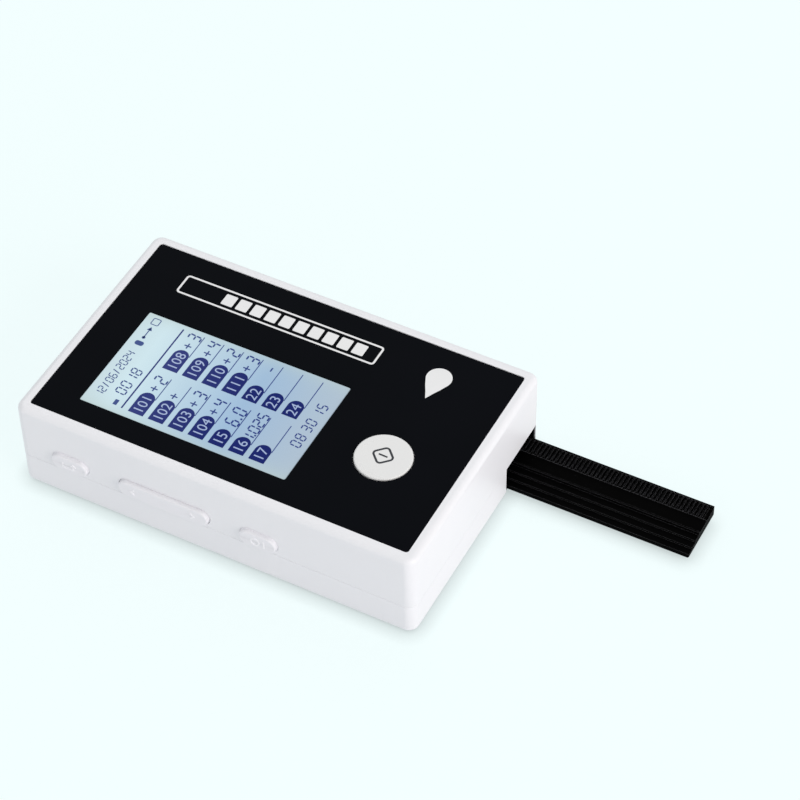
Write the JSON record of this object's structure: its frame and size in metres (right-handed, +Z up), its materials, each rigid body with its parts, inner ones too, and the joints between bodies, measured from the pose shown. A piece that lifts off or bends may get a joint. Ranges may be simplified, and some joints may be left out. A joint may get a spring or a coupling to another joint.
{
  "type": "urine analyzer",
  "caption": "Hand-held urine test strip analyzer: flat white two-shell housing, black panel with display and round button, side keys, and a toothed black strip tray that slides out of the end.",
  "frame": {"origin": "centre of the housing's flat underside", "axes": "+X along the housing towards the tray's end, +Y away from the keys, +Z up through the display"},
  "size_m": [0.182, 0.0795, 0.0309],
  "materials": {
    "white_shell": "fine satin moulded white plastic",
    "black_panel": "smooth black printed panel sheet",
    "display": "pale blue-green display glass with dark blue signs",
    "diffuser": "milky light guide",
    "button_white": "satin warm white cap",
    "key_white": "satin white caps with raised signs",
    "tray_black": "satin black moulded plastic",
    "gear_plastic": "natural acetal",
    "inner_black": "matt black",
    "circuit_board": "green solder resist",
    "steel": "plain bright steel",
    "battery_wrap": "wrapped foil cell",
    "foot_rubber": "matt dark rubber"
  },
  "bodies": {
    "housing": {"top_cover": "white_shell", "base_cover": "white_shell", "front_panel": "black_panel", "lcd_glass": "display", "lcd_frame": "inner_black", "lcd_backlight": "diffuser", "main_board": "circuit_board", "board_screw_1": "steel", "board_screw_2": "steel", "board_screw_3": "steel", "board_screw_4": "steel", "start_switch": "inner_black", "key_board": "circuit_board", "key_switch_1": "inner_black", "key_switch_2": "inner_black", "key_switch_3": "inner_black", "key_switch_4": "inner_black", "tray_guide": "tray_black", "pinion_shaft": "steel", "reduction_shaft": "steel", "gear_bracket": "gear_plastic", "drive_motor": "steel", "optical_head": "inner_black", "sensor_board": "circuit_board", "battery": "battery_wrap", "usb_socket": "steel", "buzzer": "inner_black", "housing_screw_1": "steel", "housing_screw_2": "steel", "housing_screw_3": "steel", "housing_screw_4": "steel", "foot_1": "foot_rubber", "foot_2": "foot_rubber", "foot_3": "foot_rubber", "foot_4": "foot_rubber"},
    "tray": {"tray": "tray_black"},
    "rack_pinion": {"rack_pinion": "gear_plastic"},
    "reduction_gear": {"reduction_gear": "gear_plastic"},
    "motor_gear": {"motor_gear": "gear_plastic"},
    "start_button": {"start_button": "button_white"},
    "return_key": {"return_key": "key_white"},
    "rocker_key": {"rocker_key": "key_white"},
    "confirm_key": {"confirm_key": "key_white"}
  },
  "joints": [
    {"name": "tray_slide", "type": "slide", "parent": "housing", "child": "tray", "axis": [1, 0, 0], "range_m": [-0.056, 0]},
    {"name": "rack_pinion_spin", "type": "hinge", "parent": "housing", "child": "rack_pinion", "pos_m": [0.04, 0.0334, 0.00874], "axis": [0, 1, 0], "range_deg": [-1, 892]},
    {"name": "reduction_gear_spin", "type": "hinge", "parent": "housing", "child": "reduction_gear", "pos_m": [0.03411, 0.0334, 0.01124], "axis": [0, 1, 0], "range_deg": [-1147, 1]},
    {"name": "motor_gear_spin", "type": "hinge", "parent": "housing", "child": "motor_gear", "pos_m": [0.02771, 0.03045, 0.01124], "axis": [0, 1, 0], "range_deg": [-1, 1911]},
    {"name": "start_button_press", "type": "slide", "parent": "housing", "child": "start_button", "axis": [0, 0, -1], "range_m": [0, 0.0006], "stiffness_N_per_m": 1500},
    {"name": "return_key_press", "type": "slide", "parent": "housing", "child": "return_key", "axis": [0, 1, 0], "range_m": [0, 0.0005], "stiffness_N_per_m": 1500},
    {"name": "confirm_key_press", "type": "slide", "parent": "housing", "child": "confirm_key", "axis": [0, 1, 0], "range_m": [0, 0.0005], "stiffness_N_per_m": 1500},
    {"name": "rocker_key_rock", "type": "hinge", "parent": "housing", "child": "rocker_key", "pos_m": [-0.015, -0.0357, 0.0148], "axis": [0, 0, 1], "range_deg": [-2.5, 2.5], "stiffness_Nm_per_rad": 0.1}
  ],
  "couplings": [
    {"joint": "rack_pinion_spin", "follows": "tray_slide", "rad_per_m": -277.78},
    {"joint": "reduction_gear_spin", "follows": "tray_slide", "rad_per_m": 357.14},
    {"joint": "motor_gear_spin", "follows": "tray_slide", "rad_per_m": -595.24}
  ]
}
